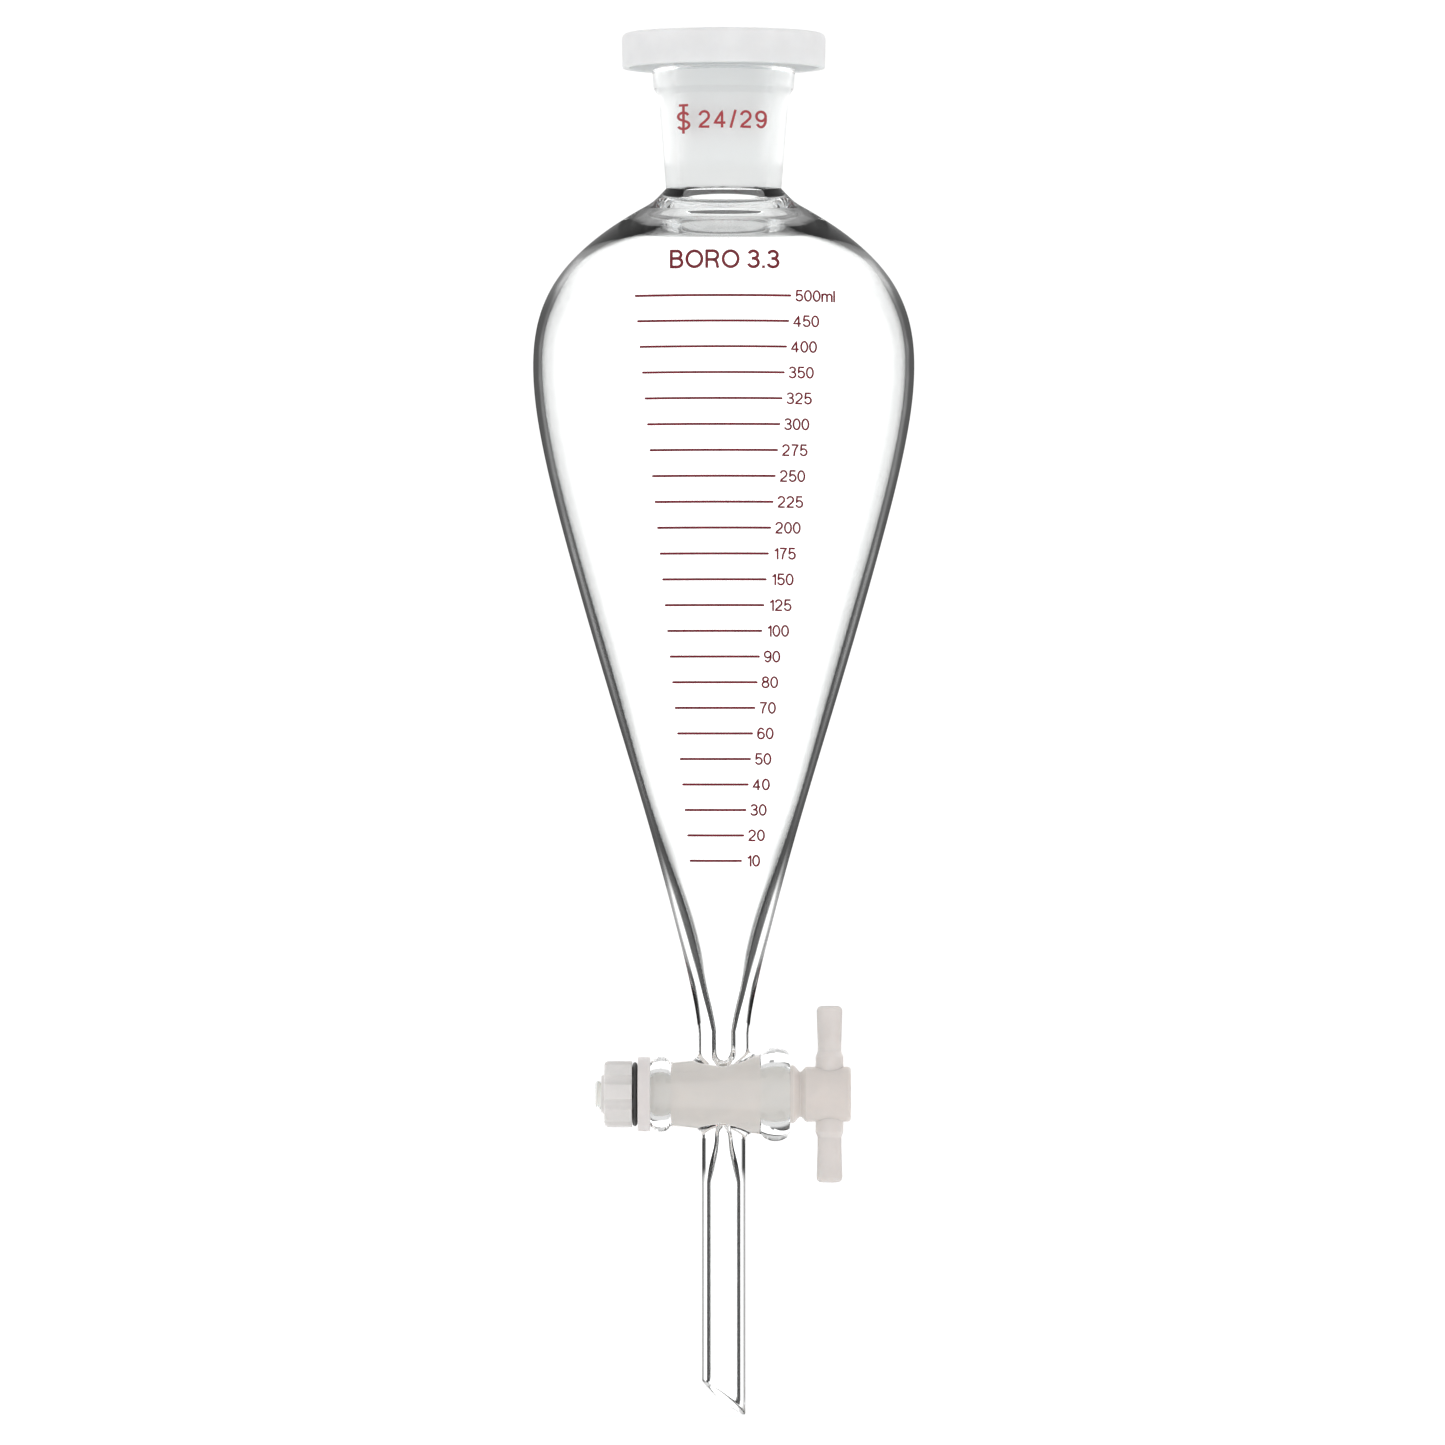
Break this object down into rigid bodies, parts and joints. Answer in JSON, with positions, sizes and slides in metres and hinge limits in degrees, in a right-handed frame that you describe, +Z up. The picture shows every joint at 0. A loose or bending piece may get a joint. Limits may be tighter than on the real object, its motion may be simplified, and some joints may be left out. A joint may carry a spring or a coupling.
{
  "type": "separatory funnel",
  "caption": "Pear-shaped glass separatory funnel with a ground socket, hollow plastic stopper, PTFE stopcock with T-handle and threaded tension nut, and a bevelled outlet stem.",
  "frame": {"origin": "on the funnel's axis, level with the lowest point of the bevelled outlet tip", "axes": "+Z up along the funnel's axis, +X along the stopcock towards its T-handle, and the printed scale faces -Y"},
  "size_m": [0.0926, 0.0926, 0.3359],
  "materials": {
    "borosilicate_glass": "clear, fire polished, with finely ground socket and barrel bore",
    "red_enamel": "fired screen print, slightly raised",
    "polypropylene": "translucent natural white, moulded",
    "ptfe": "waxy off-white, turned",
    "ptfe_handle": "waxy off-white, turned and tumbled",
    "white_washer": "waxy white, punched",
    "black_rubber": "matt moulded",
    "nut_plastic": "satin natural white, moulded"
  },
  "bodies": {
    "glass": {"glass_body": "borosilicate_glass", "scale_lines": "red_enamel", "scale_numerals": "red_enamel", "joint_size_mark": "red_enamel", "glass_grade_mark": "red_enamel"},
    "stopper": {"stopper": "polypropylene"},
    "key": {"stopcock_plug": "ptfe", "handle_bar": "ptfe_handle", "washer": "white_washer"},
    "ring": {"o_ring": "black_rubber"},
    "nut": {"tension_nut": "nut_plastic"}
  },
  "joints": [
    {"name": "stopper_lift", "type": "slide", "parent": "glass", "child": "stopper", "axis": [0, 0, 1], "range_m": [0, 0.045]},
    {"name": "key_turn", "type": "hinge", "parent": "glass", "child": "key", "pos_m": [0, 0, 0.0782], "axis": [1, 0, 0], "continuous": true},
    {"name": "nut_travel", "type": "slide", "parent": "key", "child": "ring", "axis": [-1, 0, 0], "range_m": [0, 0.0075]},
    {"name": "nut_turn", "type": "hinge", "parent": "ring", "child": "nut", "pos_m": [0, 0, 0.0782], "axis": [-1, 0, 0], "range_deg": [0, 1800.5]}
  ],
  "couplings": [
    {"joint": "nut_turn", "follows": "nut_travel", "rad_per_m": 4188.8}
  ]
}
